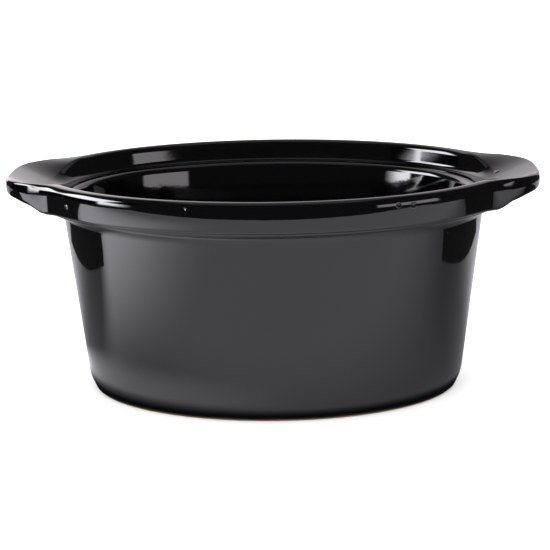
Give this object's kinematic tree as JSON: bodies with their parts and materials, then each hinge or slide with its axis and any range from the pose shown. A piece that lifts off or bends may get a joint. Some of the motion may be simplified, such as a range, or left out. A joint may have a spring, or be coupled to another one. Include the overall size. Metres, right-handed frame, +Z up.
{
  "type": "slow cooker stoneware insert",
  "caption": "Oval lift-out stoneware pot of a slow cooker: thick rolled collar with a lug grip at each end, stepped lid seat, tapered wall and bare foot ring, glazed black.",
  "frame": {"origin": "centre of the pot's plan, on the plane of the foot ring that it stands on", "axes": "+X along the pot's length towards one lug, +Y across it, +Z up towards the open mouth"},
  "size_m": [0.3552, 0.2624, 0.148],
  "materials": {
    "bare_stoneware": "bare fired stoneware, matt and finely speckled, showing only on the foot ring",
    "black_glaze": "deep black high gloss glaze with slight waviness and a few pinholes",
    "underside_glaze": "black glaze, thinner and a little less glossy inside the foot ring"
  },
  "bodies": {
    "root": {"stoneware_body": "bare_stoneware", "glaze_coat": "black_glaze", "underside_glaze": "underside_glaze"}
  },
  "joints": []
}
